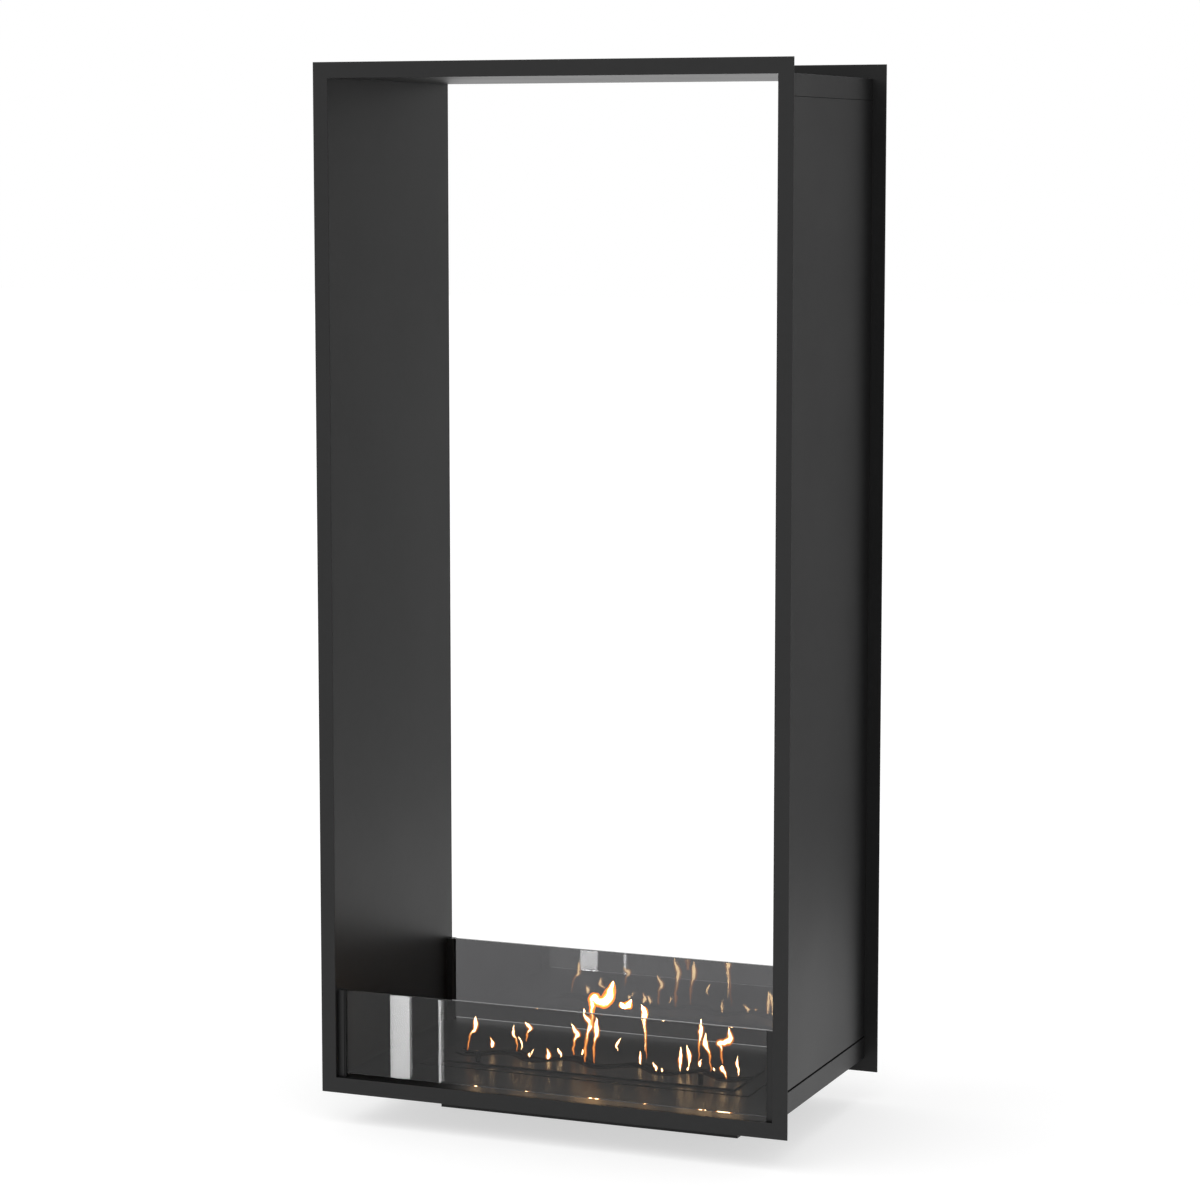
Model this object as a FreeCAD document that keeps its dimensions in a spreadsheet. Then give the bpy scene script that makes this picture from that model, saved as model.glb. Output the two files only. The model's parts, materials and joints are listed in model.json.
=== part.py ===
"""Double-sided ethanol fireplace: a see-through steel casing, two low glass panes and a lift-out burner.

Millimetres, +Z up. X runs across the opening and Y through the wall, with the front frame at -Y.
The origin is under the middle of the burner housing, which is the lowest face of the fireplace.
"""
import FreeCAD, Part
import math
import os
import re
import Sketcher

# Driving dimensions

sizes = {
    # trim frames and casing
    "frame_width": 700,
    "frame_height": 1450,
    "frame_depth": 400,
    "frame_sheet": 2,
    "flange_overhang": 20,
    "shell_sheet": 1,
    "liner_sheet": 1,
    "skirt_height": 30,
    "panel_gap_below": 3,
    "panel_gap_above": 0.5,
    # glass panes and the channels that hold them
    "glass_thickness": 6,
    "glass_height": 120,
    "glass_lift": 5,
    "glass_end_clearance": 1,
    "channel_sheet": 1.5,
    "channel_setback": 8,
    "channel_reach": 9.5,
    "seal_thickness": 1.25,
    "seal_clearance": 0.25,
    "seal_lip": 2,
    # burner housing under the floor
    "housing_drop": 45,
    "housing_length": 456,
    "housing_width": 120,
    "housing_sheet": 1.5,
    "housing_rim": 12,
    # lift-out burner
    "surround_end_ledge": 23,
    "surround_side_ledge": 19.5,
    "surround_sheet": 2,
    "surround_gap": 2.5,
    "tank_sheet": 1.5,
    "tank_rim": 3,
    "tank_end_clearance": 3.5,
    "tank_side_clearance": 1.5,
    "tank_floor_clearance": 14.5,
    "mouth_end_margin": 3.5,
    "mouth_side_margin": 5,
    "block_clearance": 1,
    "block_headroom": 14.5,
    "mesh_sheet": 1,
    "mesh_pitch": 24,
    "mesh_hole_diameter": 14,
    # cover plates with the wavy flame gap between them
    "cover_end_lap": 10,
    "cover_side_lap": 33,
    "cover_sheet": 3,
    "wave_height": 14,
    "flame_gap": 18,
    # handle posts and sliding guides of the shutter
    "post_diameter": 8,
    "post_height": 17,
    "post_chamfer": 0.8,
    "post_end_inset": 54,
    "post_inset": 6,
    "post_bore_depth": 8,
    "guide_diameter": 6,
    "guide_head_diameter": 12,
    "guide_head_height": 2,
    "guide_clearance": 0.4,
    "guide_lift_clearance": 0.3,
    "guide_end_inset": 115,
    "guide_wall_clearance": 1.5,
    # screws
    "screw_diameter": 4,
    "screw_head_diameter": 7.5,
    "screw_head_height": 1.9,
    "screw_clearance": 0.2,
    "thread_clearance": 0.05,
    "thread_depth": 2,
    "post_thread_length": 7,
    "cover_screw_margin": 12,
}

# Counts, and places given as shares of the piece that carries them
half_waves = 9
housing_screw_shares = (-0.42, -0.14, 0.14, 0.42)
cover_screw_shares = (-0.4, -0.13, 0.13, 0.4)

doc = FreeCAD.newDocument("double_sided_fireplace")
sheet = doc.addObject("Spreadsheet::Sheet", "Sizes")
for row, (alias, value) in enumerate(sizes.items(), start=1):
    sheet.set(f"A{row}", alias.replace("_", " "))
    sheet.set(f"B{row}", str(value))
    sheet.setAlias(f"B{row}", alias)
doc.recompute()

# Levels and half widths that several pieces share, written as sums of the sizes above
casing_half = "(frame_width / 2 - flange_overhang)"
liner_half = f"({casing_half} - shell_sheet)"
opening_half = f"({liner_half} - liner_sheet)"
face_half = "(frame_depth / 2)"
casing_depth_half = "(frame_depth / 2 - frame_sheet)"

frame_low = "housing_drop"
frame_high = "(housing_drop + frame_height)"
shell_low = f"({frame_low} + flange_overhang)"
liner_low = f"({shell_low} + shell_sheet)"
floor_level = f"({liner_low} + liner_sheet)"
shell_high = f"({frame_high} - flange_overhang)"
liner_high = f"({shell_high} - shell_sheet)"
ceiling_level = f"({liner_high} - liner_sheet)"

channel_depth = "(glass_thickness + 2 * (seal_clearance + seal_thickness + channel_sheet))"
channel_outer = f"({face_half} - channel_setback)"
channel_inner = f"({channel_outer} - {channel_depth})"
web_half = f"({opening_half} - channel_sheet)"
pane_half = f"({web_half} - glass_end_clearance)"
pane_outer = f"({channel_outer} - channel_sheet - seal_thickness - seal_clearance)"
pane_inner = f"({pane_outer} - glass_thickness)"
pane_low = f"({floor_level} + glass_lift)"
pane_high = f"({pane_low} + glass_height)"

burner_opening_length = "(housing_length / 2 - housing_sheet)"
burner_opening_width = "(housing_width / 2 - housing_sheet)"
surround_half_length = "(housing_length / 2 + surround_end_ledge)"
surround_half_width = "(housing_width / 2 + surround_side_ledge)"
surround_low = liner_low
surround_high = f"({surround_low} + surround_sheet)"

tank_half_length = f"({burner_opening_length} - tank_end_clearance - tank_rim)"
tank_half_width = f"({burner_opening_width} - tank_side_clearance - tank_rim)"
tank_inner_length = f"({tank_half_length} - tank_sheet)"
tank_inner_width = f"({tank_half_width} - tank_sheet)"
tank_low = "(housing_sheet + tank_floor_clearance)"
tank_floor = f"({tank_low} + tank_sheet)"
block_high = f"({surround_low} - block_headroom)"

mouth_half_length = f"({tank_inner_length} - mouth_end_margin)"
mouth_half_width = "(flame_gap / 2 + wave_height + mouth_side_margin)"
cover_low = surround_high
cover_high = f"({cover_low} + cover_sheet)"
cover_half_length = f"({mouth_half_length} + cover_end_lap)"
cover_half_width = f"({mouth_half_width} + cover_side_lap)"
half_wave = f"(2 * {cover_half_length} / {half_waves})"
wave_radius = f"(({half_wave} ^ 2 / 4 + wave_height ^ 2) / (2 * wave_height))"

subparts = {}


def prefixed(word):
    return f"Sizes.{word}" if word in sizes else word


def bound(text):
    """An expression on the sheet, from a sum written in plain size names."""
    return re.sub(r"[a-z_]+", lambda word: prefixed(word.group()), text)


def number(text):
    """What an expression comes to now, used to start a sketch near its solution."""
    return float(sheet.evalExpression(bound(text)))


def name_subpart(piece, label):
    piece.Label = label
    subparts[label] = piece
    return piece


def slab(x, y, z):
    """A box between two limits on each axis."""
    box = doc.addObject("Part::Box", "Slab")
    for side, axis, (low, high) in (("Length", "x", x), ("Width", "y", y), ("Height", "z", z)):
        box.setExpression(side, bound(f"({high}) - ({low})"))
        box.setExpression(f"Placement.Base.{axis}", bound(low))
    return box


def group(label, pieces):
    """Separate solids that share one name, such as a set of screws."""
    compound = doc.addObject("Part::Compound", "Group")
    compound.Links = pieces
    return name_subpart(compound, label)


def rectangle(x_low, x_high, y_low, y_high):
    """A closed outline of four corners, each with the edge that leaves it."""
    return [(x_low, y_low, None), (x_high, y_low, None), (x_high, y_high, None), (x_low, y_high, None)]


def centred(length, width):
    """A rectangle about the middle, from its half length and half width."""
    return rectangle(f"-{length}", length, f"-{width}", width)


def pin_sketch_value(sketch, kind, text, *where):
    """One sketch dimension, tied to the sheet."""
    index = sketch.addConstraint(Sketcher.Constraint(kind, *where, number(text)))
    sketch.setExpression(f"Constraints[{index}]", bound(text))


def draw_outline(sketch, corners):
    """Draws a closed outline: straight edges, or short arcs given by their centres."""
    points = [FreeCAD.Vector(number(x), number(y), 0) for x, y, _ in corners]
    ends = []
    for (start, finish), (_, _, arc) in zip(zip(points, points[1:] + points[:1]), corners):
        if arc is None:
            edge = sketch.addGeometry(Part.LineSegment(start, finish))
            ends.append((edge, 1, 2))
            continue
        centre_x, centre_y = arc
        centre = FreeCAD.Vector(number(centre_x), number(centre_y), 0)
        forward = (start - centre).cross(finish - centre).z > 0
        first, last = (start, finish) if forward else (finish, start)
        angles = [math.atan2(point.y - centre.y, point.x - centre.x) for point in (first, last)]
        circle = Part.Circle(centre, FreeCAD.Vector(0, 0, 1), start.distanceToPoint(centre))
        edge = sketch.addGeometry(Part.ArcOfCircle(circle, *angles))
        ends.append((edge, 1, 2) if forward else (edge, 2, 1))
        pin_sketch_value(sketch, "DistanceY", centre_y, -1, 1, edge, 3)
    for index, (x, y, _) in enumerate(corners):
        edge, first, _ = ends[index]
        before, _, last = ends[index - 1]
        sketch.addConstraint(Sketcher.Constraint("Coincident", before, last, edge, first))
        pin_sketch_value(sketch, "DistanceX", x, -1, 1, edge, first)
        pin_sketch_value(sketch, "DistanceY", y, -1, 1, edge, first)


def draw_circle(sketch, x, y, radius):
    centre = FreeCAD.Vector(number(x), number(y), 0)
    circle = sketch.addGeometry(Part.Circle(centre, FreeCAD.Vector(0, 0, 1), number(radius)))
    pin_sketch_value(sketch, "Radius", radius, circle)
    pin_sketch_value(sketch, "DistanceX", x, -1, 1, circle, 3)
    pin_sketch_value(sketch, "DistanceY", y, -1, 1, circle, 3)


def new_sketch(body, role, level):
    """A sketch on one of the body's own planes, moved along that plane's normal."""
    sketch = body.newObject("Sketcher::SketchObject", "Outline")
    plane = next(feature for feature in body.Origin.OriginFeatures if feature.Role == role)
    sketch.AttachmentSupport = [(plane, "")]
    sketch.MapMode = "FlatFace"
    sketch.setExpression("AttachmentOffset.Base.z", bound(level))
    return sketch


def pad_layer(body, outlines, low, high, holes=(), role="XY_Plane"):
    """Pads one layer of a body. Upright layers lie in the XZ plane, whose normal is -Y."""
    sketch = new_sketch(body, role, low if role == "XY_Plane" else f"-({high})")
    for outline in outlines:
        draw_outline(sketch, outline)
    for hole in holes:
        draw_circle(sketch, *hole)
    pad = body.newObject("PartDesign::Pad", "Layer")
    pad.Profile = sketch
    pad.setExpression("Length", bound(f"({high}) - ({low})"))
    return pad


def bore_from_below(body, holes, low, depth):
    """Blind round holes that start at a level and go up."""
    sketch = new_sketch(body, "XY_Plane", low)
    for hole in holes:
        draw_circle(sketch, *hole)
    pocket = body.newObject("PartDesign::Pocket", "Bores")
    pocket.Profile = sketch
    pocket.setExpression("Length", bound(depth))
    pocket.Reversed = True
    doc.recompute()
    if pocket.Shape.Volume >= pocket.BaseFeature.Shape.Volume:
        raise RuntimeError(f"the bores of {body.Label} cut nothing")


def new_body(label):
    return name_subpart(doc.addObject("PartDesign::Body", "Body"), label)


def turned(profile, x, y, z):
    """A round piece on an upright axis, from its half section given as radius and height."""
    body = doc.addObject("PartDesign::Body", "Turned")
    sketch = new_sketch(body, "XZ_Plane", "0")
    draw_outline(sketch, [(radius, height, None) for radius, height in profile])
    turn = body.newObject("PartDesign::Revolution", "Turn")
    turn.Profile = sketch
    turn.ReferenceAxis = (sketch, ["V_Axis"])
    turn.Angle = 360
    for axis, place in (("x", x), ("y", y), ("z", z)):
        body.setExpression(f"Placement.Base.{axis}", bound(place))
    return body


def screw_profile(head_diameter, head_height, shank_diameter, length):
    """Half section of a screw that stands head down, its length counted under the head."""
    head, shank = f"{head_diameter} / 2", f"{shank_diameter} / 2"
    tip = f"{head_height} + {length}"
    return [("0", "0"), (head, "0"), (head, head_height), (shank, head_height), (shank, tip), ("0", tip)]


# Trim frames: flat sheet rings that cover the edge of the wall on both sides
opening_outline = rectangle(f"-{opening_half}", opening_half, floor_level, ceiling_level)
frame_outline = rectangle("-frame_width / 2", "frame_width / 2", frame_low, frame_high)
for label, low, high in (
    ("front_trim_frame", f"-{face_half}", f"-{casing_depth_half}"),
    ("rear_trim_frame", casing_depth_half, face_half),
):
    pad_layer(new_body(label), [frame_outline, opening_outline], low, high, role="XZ_Plane")

# Liner: the inner skin that the fire sees
through = (f"-{casing_depth_half}", casing_depth_half)
across = (f"-{opening_half}", opening_half)
liner_height = (liner_low, liner_high)
name_subpart(slab((f"-{liner_half}", f"-{opening_half}"), through, liner_height), "left_liner")
name_subpart(slab((opening_half, liner_half), through, liner_height), "right_liner")
name_subpart(slab(across, through, (ceiling_level, liner_high)), "ceiling_liner")

floor_cutout = centred(f"({surround_half_length} + surround_gap)", f"({surround_half_width} + surround_gap)")
floor_sheet = centred(opening_half, casing_depth_half)
pad_layer(new_body("floor_liner"), [floor_sheet, floor_cutout], liner_low, floor_level)

# Shell: the outer skin, with a cap and a base tray whose skirts turn over the side panels
panel_height = (
    f"({shell_low} + skirt_height + panel_gap_below)",
    f"({shell_high} - skirt_height - panel_gap_above)",
)
name_subpart(slab((f"-{casing_half}", f"-{liner_half}"), through, panel_height), "left_outer_panel")
name_subpart(slab((liner_half, casing_half), through, panel_height), "right_outer_panel")

shell_sheet_outline = centred(casing_half, casing_depth_half)
left_skirt = rectangle(f"-{casing_half}", f"-{liner_half}", *through)
right_skirt = rectangle(liner_half, casing_half, *through)

top_cap = new_body("top_cap")
pad_layer(top_cap, [shell_sheet_outline], liner_high, shell_high)
pad_layer(top_cap, [left_skirt, right_skirt], f"({shell_high} - skirt_height)", shell_high)

rim_middle_width = "(housing_width / 2 + housing_rim / 2)"
screw_hole = "(screw_diameter / 2 + screw_clearance)"
thread_hole = "(screw_diameter / 2 + thread_clearance)"
housing_screw_places = [
    (f"{share} * housing_length", f"{side} * {rim_middle_width}")
    for share in housing_screw_shares
    for side in (-1, 1)
]
burner_opening = centred(burner_opening_length, burner_opening_width)
tray_holes = [(x, y, thread_hole) for x, y in housing_screw_places]
base_tray = new_body("base_tray")
pad_layer(base_tray, [shell_sheet_outline, burner_opening], shell_low, liner_low, holes=tray_holes)
pad_layer(base_tray, [left_skirt, right_skirt], shell_low, f"({shell_low} + skirt_height)")

# Glass: a low pane on each side, slid down into upright channels with a seal on both faces
leg_tip = f"({opening_half} - channel_reach)"
outer_leg = f"({channel_outer} - channel_sheet)"
inner_leg = f"({channel_inner} + channel_sheet)"
channel_corners = [
    (opening_half, channel_outer),
    (leg_tip, channel_outer),
    (leg_tip, outer_leg),
    (web_half, outer_leg),
    (web_half, inner_leg),
    (leg_tip, inner_leg),
    (leg_tip, channel_inner),
    (opening_half, channel_inner),
]
for side_name, side in (("front", -1), ("rear", 1)):
    for end_name, end in (("left", -1), ("right", 1)):
        channel_outline = [(f"{end} * {x}", f"{side} * {y}", None) for x, y in channel_corners]
        channel = new_body(f"{side_name}_{end_name}_glass_channel")
        pad_layer(channel, [channel_outline], floor_level, pane_high)


def both_ends(inner, outer):
    """The same stretch of X at the left end and at the right end."""
    return [(f"-({outer})", f"-({inner})"), (inner, outer)]


def at_side(side, inner, outer):
    """A stretch of Y at the front (-1) or at the rear (1)."""
    return (f"-({outer})", f"-({inner})") if side < 0 else (inner, outer)


seal_tip = f"{leg_tip} - seal_lip"
for side_name, side in (("front", -1), ("rear", 1)):
    seal_layers = (
        at_side(side, f"{outer_leg} - seal_thickness", outer_leg),
        at_side(side, inner_leg, f"{inner_leg} + seal_thickness"),
    )
    strips = [
        slab(x, y, (floor_level, pane_high)) for x in both_ends(seal_tip, web_half) for y in seal_layers
    ]
    group(f"{side_name}_glass_seals", strips)
    pane_y = at_side(side, pane_inner, pane_outer)
    name_subpart(slab((f"-{pane_half}", pane_half), pane_y, (pane_low, pane_high)), f"{side_name}_glass")

pads = [
    slab(x, at_side(side, pane_inner, pane_outer), (floor_level, pane_low))
    for side in (-1, 1)
    for x in both_ends(leg_tip, web_half)
]
group("glass_rest_pads", pads)

# Burner housing: a deep tray screwed up against the base tray, and the face the fireplace stands on
housing_outline = centred("(housing_length / 2)", "(housing_width / 2)")
rim_outline = centred("(housing_length / 2 + housing_rim)", "(housing_width / 2 + housing_rim)")
rim_holes = [(x, y, screw_hole) for x, y in housing_screw_places]
rim_low = f"({shell_low} - housing_sheet)"
housing = new_body("burner_housing")
pad_layer(housing, [housing_outline], "0", "housing_sheet")
pad_layer(housing, [housing_outline, burner_opening], "0", shell_low)
pad_layer(housing, [rim_outline, burner_opening], rim_low, shell_low, holes=rim_holes)

housing_screw = screw_profile(
    "screw_head_diameter", "screw_head_height", "screw_diameter", "housing_sheet + shell_sheet"
)
housing_screw_level = f"{rim_low} - screw_head_height"
group(
    "housing_screws",
    [turned(housing_screw, x, y, housing_screw_level) for x, y in housing_screw_places],
)

# Burner: a surround plate that drops into the floor, with the fuel tank hung under it
guide_x = f"({cover_half_length} - guide_end_inset)"
guide_y = f"({tank_inner_width} - guide_head_diameter / 2 - guide_wall_clearance)"
notch_half = "(guide_diameter / 2 + guide_clearance)"


def notch(middle):
    """Corners of a notch that runs from the mouth's front edge towards the front."""
    left, right, end = f"{middle} - {notch_half}", f"{middle} + {notch_half}", f"-({guide_y} + {notch_half})"
    return [
        (left, f"-{mouth_half_width}", None),
        (left, end, None),
        (right, end, None),
        (right, f"-{mouth_half_width}", None),
    ]


mouth_outline = [
    (f"-{mouth_half_length}", f"-{mouth_half_width}", None),
    *notch(f"-{guide_x}"),
    *notch(guide_x),
    (mouth_half_length, f"-{mouth_half_width}", None),
    (mouth_half_length, mouth_half_width, None),
    (f"-{mouth_half_length}", mouth_half_width, None),
]
cover_screw_row = f"({mouth_half_width} + cover_screw_margin)"
cover_screw_places = [(f"{share} * 2 * {cover_half_length}", cover_screw_row) for share in cover_screw_shares]
surround_outline = centred(surround_half_length, surround_half_width)
surround_holes = [(x, y, screw_hole) for x, y in cover_screw_places]
surround = new_body("burner_surround")
pad_layer(surround, [surround_outline, mouth_outline], surround_low, surround_high, holes=surround_holes)

tank_outline = centred(tank_half_length, tank_half_width)
tank_inside = centred(tank_inner_length, tank_inner_width)
tank_rim_outline = centred(f"({tank_half_length} + tank_rim)", f"({tank_half_width} + tank_rim)")
tank = new_body("fuel_tank")
pad_layer(tank, [tank_outline], tank_low, tank_floor)
pad_layer(tank, [tank_outline, tank_inside], tank_low, surround_low)
pad_layer(tank, [tank_rim_outline, tank_inside], f"({surround_low} - tank_sheet)", surround_low)

# The ceramic wool soaks up the fuel, and a perforated sheet keeps it down
block_half_length = f"({tank_inner_length} - block_clearance)"
block_half_width = f"({tank_inner_width} - block_clearance)"
block_x = (f"-{block_half_length}", block_half_length)
block_y = (f"-{block_half_width}", block_half_width)
name_subpart(slab(block_x, block_y, (tank_floor, block_high)), "ceramic_fuel_block")

mesh_columns = int(number(f"(2 * {block_half_length} - mesh_hole_diameter) / mesh_pitch"))
mesh_rows = int(number(f"(2 * {block_half_width} - mesh_hole_diameter) / mesh_pitch"))
mesh_holes = [
    (
        f"{column - (mesh_columns - 1) / 2} * mesh_pitch",
        f"{line - (mesh_rows - 1) / 2} * mesh_pitch",
        "mesh_hole_diameter / 2",
    )
    for column in range(mesh_columns)
    for line in range(mesh_rows)
]
mesh_outline = centred(block_half_length, block_half_width)
mesh_high = f"({block_high} + mesh_sheet)"
pad_layer(new_body("burner_mesh"), [mesh_outline], block_high, mesh_high, holes=mesh_holes)


def wave_edge(level, rightwards):
    """The wavy edge: arcs that bend by turns to the front and to the rear of one straight level."""
    steps = range(half_waves) if rightwards else range(half_waves, 0, -1)
    stride = 1 if rightwards else -1
    edge = []
    for step in steps:
        bay = step if rightwards else step - 1
        bend = -1 if bay % 2 == 0 else 1
        start_x = f"({step} * {half_wave} - {cover_half_length})"
        centre_x = f"({start_x} + {stride} * {half_wave} / 2)"
        centre_y = f"({level} + {bend} * (wave_height - {wave_radius}))"
        edge.append((start_x, level, (centre_x, centre_y)))
    return edge


# Rear cover plate: fixed, held by screws from inside the tank
rear_cover = new_body("rear_cover_plate")
rear_cover_outline = [
    *wave_edge("flame_gap / 2", rightwards=True),
    (cover_half_length, "flame_gap / 2", None),
    (cover_half_length, cover_half_width, None),
    (f"-{cover_half_length}", cover_half_width, None),
]
pad_layer(rear_cover, [rear_cover_outline], cover_low, cover_high)
bore_from_below(rear_cover, [(x, y, thread_hole) for x, y in cover_screw_places], cover_low, "thread_depth")

cover_screw = screw_profile(
    "screw_head_diameter", "screw_head_height", "screw_diameter", "surround_sheet + thread_depth"
)
cover_screw_level = f"{surround_low} - screw_head_height"
group("cover_screws", [turned(cover_screw, x, y, cover_screw_level) for x, y in cover_screw_places])

# Shutter plate: slides back over the mouth until its wave closes on the rear cover plate
post_row = f"-({cover_half_width} - post_inset)"
post_places = [(f"{end} * ({cover_half_length} - post_end_inset)", post_row) for end in (-1, 1)]
guide_places = [(f"{end} * {guide_x}", f"-{guide_y}") for end in (-1, 1)]
shutter = new_body("shutter_plate")
shutter_outline = [
    *wave_edge("-flame_gap / 2", rightwards=False),
    (f"-{cover_half_length}", "-flame_gap / 2", None),
    (f"-{cover_half_length}", f"-{cover_half_width}", None),
    (cover_half_length, f"-{cover_half_width}", None),
]
post_holes = [(x, y, screw_hole) for x, y in post_places]
pad_layer(shutter, [shutter_outline], cover_low, cover_high, holes=post_holes)
head_recess = "(screw_head_diameter / 2 + screw_clearance)"
head_recess_depth = "(screw_head_height + guide_lift_clearance)"
bore_from_below(shutter, [(x, y, head_recess) for x, y in post_places], cover_low, head_recess_depth)
guide_hole = "(guide_diameter / 2 + thread_clearance)"
bore_from_below(shutter, [(x, y, guide_hole) for x, y in guide_places], cover_low, "thread_depth")

# Handle posts: two short pins that a tool hooks to push the shutter
post_radius = "post_diameter / 2"
post_bevel = f"{post_radius} - post_chamfer"
handle_post = [
    (thread_hole, "0"),
    (post_radius, "0"),
    (post_radius, "post_height - post_chamfer"),
    (post_bevel, "post_height"),
    ("0", "post_height"),
    ("0", "post_bore_depth"),
    (thread_hole, "post_bore_depth"),
]
group("handle_posts", [turned(handle_post, x, y, cover_high) for x, y in post_places])

post_screw_length = f"(cover_sheet - {head_recess_depth} + post_thread_length)"
post_screw = screw_profile("screw_head_diameter", "screw_head_height", "screw_diameter", post_screw_length)
post_screw_level = f"({cover_low} + guide_lift_clearance)"
group("post_screws", [turned(post_screw, x, y, post_screw_level) for x, y in post_places])

# Guide screws: their shanks run in the notches of the surround and their heads keep the shutter down
guide_length = "(guide_lift_clearance + surround_sheet + thread_depth)"
guide_screw = screw_profile("guide_head_diameter", "guide_head_height", "guide_diameter", guide_length)
guide_level = f"({surround_low} - guide_lift_clearance - guide_head_height)"
group("guide_screws", [turned(guide_screw, x, y, guide_level) for x, y in guide_places])

# Rebuild, check every object, then write one file per sub-part
doc.recompute()
for item in doc.Objects:
    if "Invalid" in item.State or "Error" in item.State:
        raise RuntimeError(f"{item.Label} failed: {item.State}")
for label, piece in subparts.items():
    if piece.Shape.isNull() or not piece.Shape.isValid():
        raise RuntimeError(f"{label} has no valid shape")

os.makedirs("parts", exist_ok=True)
for label, piece in subparts.items():
    piece.Shape.exportStep(f"parts/{label}.step")
    print(f"{label}: {len(piece.Shape.Solids)} solids, {piece.Shape.Volume:.0f} cubic mm")
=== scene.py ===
# %% [markdown]
# # A double-sided fireplace
#
# The object is a see-through ethanol fireplace that is built into a wall: a tall black steel casing, open
# on both faces, with a low tinted pane on each side of a burner whose flame comes out of a wavy slot.
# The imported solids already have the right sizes, so this lesson gives them their finishes, rounds the
# edges that the eye follows, and adds the fire. Sizes are in millimetres and angles in degrees, unless a
# comment says otherwise. The front, which the camera sees, faces -Y.

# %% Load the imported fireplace
import json
import math
import bpy
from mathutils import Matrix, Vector

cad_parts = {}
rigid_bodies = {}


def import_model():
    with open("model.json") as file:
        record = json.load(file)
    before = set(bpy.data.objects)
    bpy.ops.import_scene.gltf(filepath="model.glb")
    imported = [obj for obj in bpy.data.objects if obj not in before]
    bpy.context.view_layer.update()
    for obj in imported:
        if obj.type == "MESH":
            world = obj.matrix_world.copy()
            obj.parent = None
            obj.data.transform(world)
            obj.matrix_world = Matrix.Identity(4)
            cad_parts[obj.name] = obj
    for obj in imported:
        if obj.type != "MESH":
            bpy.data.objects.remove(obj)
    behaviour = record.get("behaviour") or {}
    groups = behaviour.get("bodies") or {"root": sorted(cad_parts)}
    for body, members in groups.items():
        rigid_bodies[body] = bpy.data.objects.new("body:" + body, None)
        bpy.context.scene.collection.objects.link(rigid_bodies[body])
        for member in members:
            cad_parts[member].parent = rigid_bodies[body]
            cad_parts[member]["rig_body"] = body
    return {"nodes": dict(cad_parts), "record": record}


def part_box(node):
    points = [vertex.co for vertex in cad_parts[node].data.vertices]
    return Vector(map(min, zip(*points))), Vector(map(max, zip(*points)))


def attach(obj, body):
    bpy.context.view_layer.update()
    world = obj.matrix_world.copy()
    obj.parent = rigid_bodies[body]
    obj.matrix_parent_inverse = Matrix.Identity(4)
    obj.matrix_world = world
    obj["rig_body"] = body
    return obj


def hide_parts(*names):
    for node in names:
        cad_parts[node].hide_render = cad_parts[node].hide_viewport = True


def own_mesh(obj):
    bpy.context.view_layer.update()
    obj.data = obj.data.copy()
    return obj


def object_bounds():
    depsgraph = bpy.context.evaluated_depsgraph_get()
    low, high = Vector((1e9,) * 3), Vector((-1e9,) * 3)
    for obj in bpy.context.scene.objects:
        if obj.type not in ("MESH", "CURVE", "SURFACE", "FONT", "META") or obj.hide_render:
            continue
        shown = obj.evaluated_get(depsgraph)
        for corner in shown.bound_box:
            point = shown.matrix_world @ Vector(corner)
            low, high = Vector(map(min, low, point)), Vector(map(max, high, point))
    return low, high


MM = 0.001

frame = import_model()
nodes = frame["nodes"]
cad_low, cad_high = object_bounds()
print("packed fireplace:", len(nodes), "nodes,", [round(side / MM) for side in cad_high - cad_low], "mm")

# %% [markdown]
# ## Viewpoint
#
# The fireplace is seen from its right and from a little under its top, through a long lens, so its upright
# edges stay almost parallel. A lens shift would keep them exactly parallel, but every other view
# of the object would then be cut off, so the camera is tilted down by a few degrees instead.

# %% Camera
CAMERA_PLACE = Vector((1892.9, -4667.6, 1351.7)) * MM
CAMERA_TURN = 22.12
CAMERA_TILT = 6.89
CAMERA_LENS = 107.5

bpy.ops.object.select_all(action="DESELECT")
bpy.ops.object.camera_add(
    location=CAMERA_PLACE,
    rotation=(math.radians(90 - CAMERA_TILT), 0, math.radians(CAMERA_TURN)),
)
camera = bpy.context.object
camera.data.lens = CAMERA_LENS
bpy.context.scene.camera = camera
bpy.context.scene.view_settings.view_transform = "Standard"
print("camera:", CAMERA_LENS, "mm lens,", round(CAMERA_PLACE.xy.length, 2), "m away")

# %% [markdown]
# ## Helpers for the finishes
#
# A colour is written as the hex value that a colour picker shows, and one function turns it into the
# linear light that shaders work in. One more function adds a shader node with its settings, values and
# links. Each node could be set up line by line, but this way a finish reads as a list of what it is made of.

# %% Colour and node helpers
# the colour sockets of a Mix node go by number, because it has several of the same name
MIX_FIRST = 6
MIX_SECOND = 7
MIX_RESULT = 2


def linear(hex_code):
    """Linear colour, with full alpha, of an sRGB hex value."""
    channels = [int(hex_code[i:i + 2], 16) / 255 for i in (1, 3, 5)]
    return [c / 12.92 if c <= 0.04045 else ((c + 0.055) / 1.055) ** 2.4 for c in channels] + [1]


def add_node(tree, kind, values=None, links=None, **settings):
    """Adds one node, sets its properties and socket values, and links what feeds it."""
    made = tree.nodes.new(kind)
    for name, value in settings.items():
        setattr(made, name, value)
    for socket, value in (values or {}).items():
        made.inputs[socket].default_value = value
    for socket, source in (links or {}).items():
        tree.links.new(source, made.inputs[socket])
    return made


def new_finish(name):
    """An empty material and its node tree."""
    material = bpy.data.materials.new(name)
    material.use_nodes = True
    material.node_tree.nodes.clear()
    return material, material.node_tree


def per_mm(size):
    """Texture scale that gives a pattern of this many millimetres."""
    return 1 / (size * MM)


print("the hex grey #808080 is", round(linear("#808080")[0], 3), "in linear light")

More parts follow.
